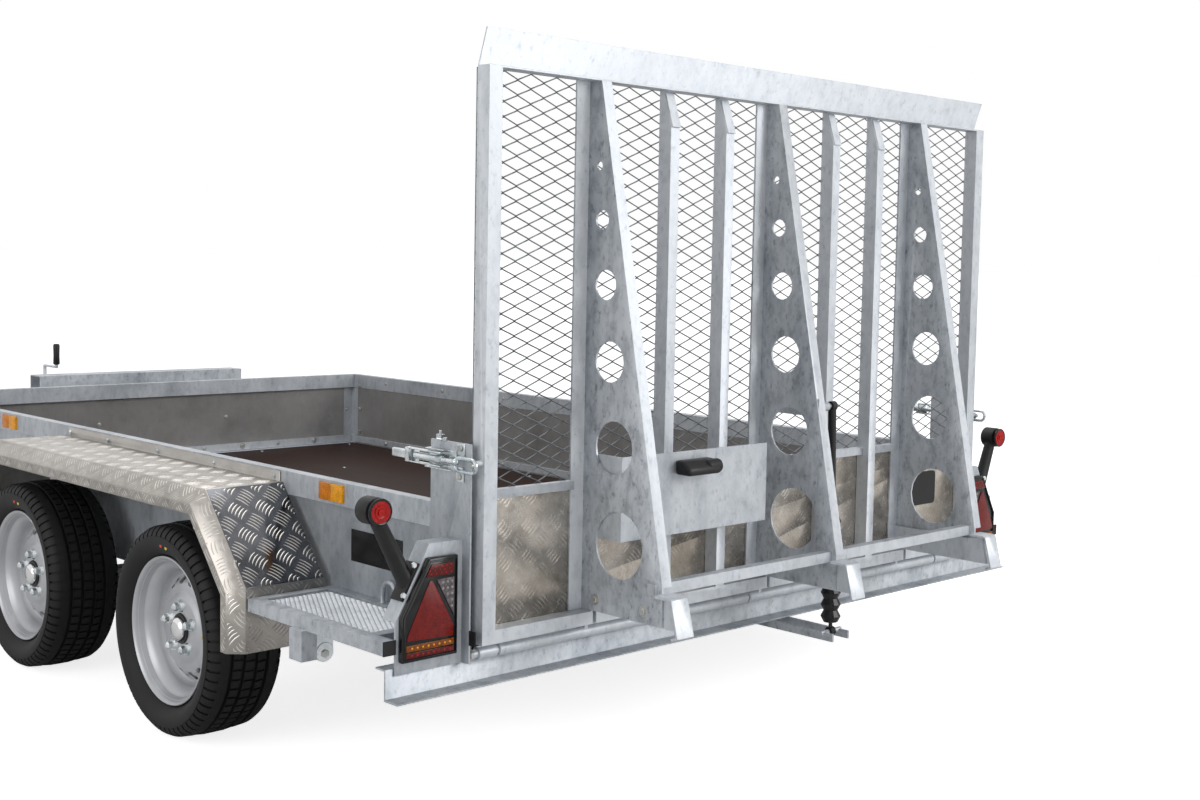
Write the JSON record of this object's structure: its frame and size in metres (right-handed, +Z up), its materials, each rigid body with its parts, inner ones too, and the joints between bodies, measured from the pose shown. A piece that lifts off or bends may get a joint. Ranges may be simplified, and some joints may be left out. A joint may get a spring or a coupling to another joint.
{
  "type": "machine trailer with tail ramp",
  "caption": "Twin-axle galvanised machine trailer with low side walls, wheel guards, steps, and a ribbed mesh tail ramp that folds down to the ground.",
  "frame": {"origin": "on the ground, under the middle of the whole trailer", "axes": "+Z up, +Y forward to the drawbar's nose, +X to the trailer's right side"},
  "size_m": [2.3, 4.8186, 1.665],
  "materials": {
    "galvanised": "hot-dip galvanised steel, mottled and matt",
    "tread_plate": "five-bar tread plate",
    "tyre": "black tyre rubber",
    "rubber": "black moulded rubber",
    "black_plastic": "black moulded plastic",
    "wheel_silver": "silver painted pressed steel",
    "film_ply": "brown film-faced plywood",
    "bright_zinc": "bright zinc plated steel",
    "black_steel": "black painted steel",
    "lamp": "moulded lamp with red lenses in a black housing"
  },
  "bodies": {
    "chassis": {"brake_lever": "galvanised", "bucket_rest": "galvanised", "chassis": "galvanised", "coupling_head": "galvanised", "floor": "film_ply", "front_axle": "black_steel", "front_wall": "galvanised", "guard_left": "tread_plate", "guard_right": "tread_plate", "hinge_tube": "galvanised", "jockey_tube": "galvanised", "latch_left": "bright_zinc", "latch_right": "bright_zinc", "marker_lamp_left": "rubber", "marker_lamp_right": "rubber", "overrun_bellows": "rubber", "overrun_housing": "galvanised", "rear_axle": "black_steel", "rear_corner_left": "galvanised", "rear_corner_right": "galvanised", "rear_sill": "galvanised", "side_wall_left": "galvanised", "side_wall_right": "galvanised", "spring_lever": "galvanised", "step_left": "galvanised", "step_right": "galvanised", "step_tread_left": "galvanised", "step_tread_right": "galvanised", "tail_lamp_left": "lamp", "tail_lamp_right": "lamp"},
    "ramp": {"foot_left": "galvanised", "foot_middle": "galvanised", "foot_right": "galvanised", "number_board": "galvanised", "plate_lamp": "black_plastic", "ramp_frame": "galvanised", "ramp_mesh": "galvanised", "ramp_plates": "tread_plate", "ramp_ribs": "galvanised"},
    "spring_barrel": {"spring_barrel": "black_plastic"},
    "spring_rod": {"spring_rod": "rubber"},
    "jockey_leg": {"jockey_leg": "galvanised"},
    "jockey_fork": {"jockey_fork": "galvanised"},
    "jockey_wheel": {"jockey_wheel": "rubber"},
    "wheel_rear_left": {"tyre_rear_left": "tyre", "rim_rear_left": "wheel_silver"},
    "wheel_rear_right": {"tyre_rear_right": "tyre", "rim_rear_right": "wheel_silver"},
    "wheel_front_left": {"tyre_front_left": "tyre", "rim_front_left": "wheel_silver"},
    "wheel_front_right": {"tyre_front_right": "tyre", "rim_front_right": "wheel_silver"}
  },
  "joints": [
    {"name": "ramp_hinge", "type": "hinge", "parent": "chassis", "child": "ramp", "pos_m": [0, -2.071, 0.342], "axis": [1, 0, 0], "range_deg": [0, 103.5]},
    {"name": "spring_pivot", "type": "hinge", "parent": "ramp", "child": "spring_barrel", "pos_m": [0.078, -2.246, 0.839], "axis": [1, 0, 0], "range_deg": [0, 28.62]},
    {"name": "spring_slide", "type": "slide", "parent": "spring_barrel", "child": "spring_rod", "axis": [0, 0.0264, 0.9997], "range_m": [0, 0.23509]},
    {"name": "wheel_spin_rear_left", "type": "hinge", "parent": "chassis", "child": "wheel_rear_left", "pos_m": [-1.0485, -1.164, 0.2625], "axis": [1, 0, 0], "continuous": true},
    {"name": "wheel_spin_rear_right", "type": "hinge", "parent": "chassis", "child": "wheel_rear_right", "pos_m": [1.0485, -1.164, 0.2625], "axis": [1, 0, 0], "continuous": true},
    {"name": "wheel_spin_front_left", "type": "hinge", "parent": "chassis", "child": "wheel_front_left", "pos_m": [-1.0485, -0.304, 0.2625], "axis": [1, 0, 0], "continuous": true},
    {"name": "wheel_spin_front_right", "type": "hinge", "parent": "chassis", "child": "wheel_front_right", "pos_m": [1.0485, -0.304, 0.2625], "axis": [1, 0, 0], "continuous": true},
    {"name": "jockey_slide", "type": "slide", "parent": "chassis", "child": "jockey_leg", "axis": [0, 0, 1], "range_m": [-0.15, 0]},
    {"name": "jockey_swivel", "type": "hinge", "parent": "jockey_leg", "child": "jockey_fork", "pos_m": [-0.235, 1.639, 0.25], "axis": [0, 0, 1], "continuous": true},
    {"name": "jockey_spin", "type": "hinge", "parent": "jockey_fork", "child": "jockey_wheel", "pos_m": [-0.235, 1.599, 0.1], "axis": [1, 0, 0], "continuous": true}
  ],
  "couplings": [
    {"joint": "spring_pivot", "follows": "ramp_hinge", "ratio": 0.27628},
    {"joint": "spring_slide", "follows": "ramp_hinge", "m_per_rad": 0.13001}
  ]
}
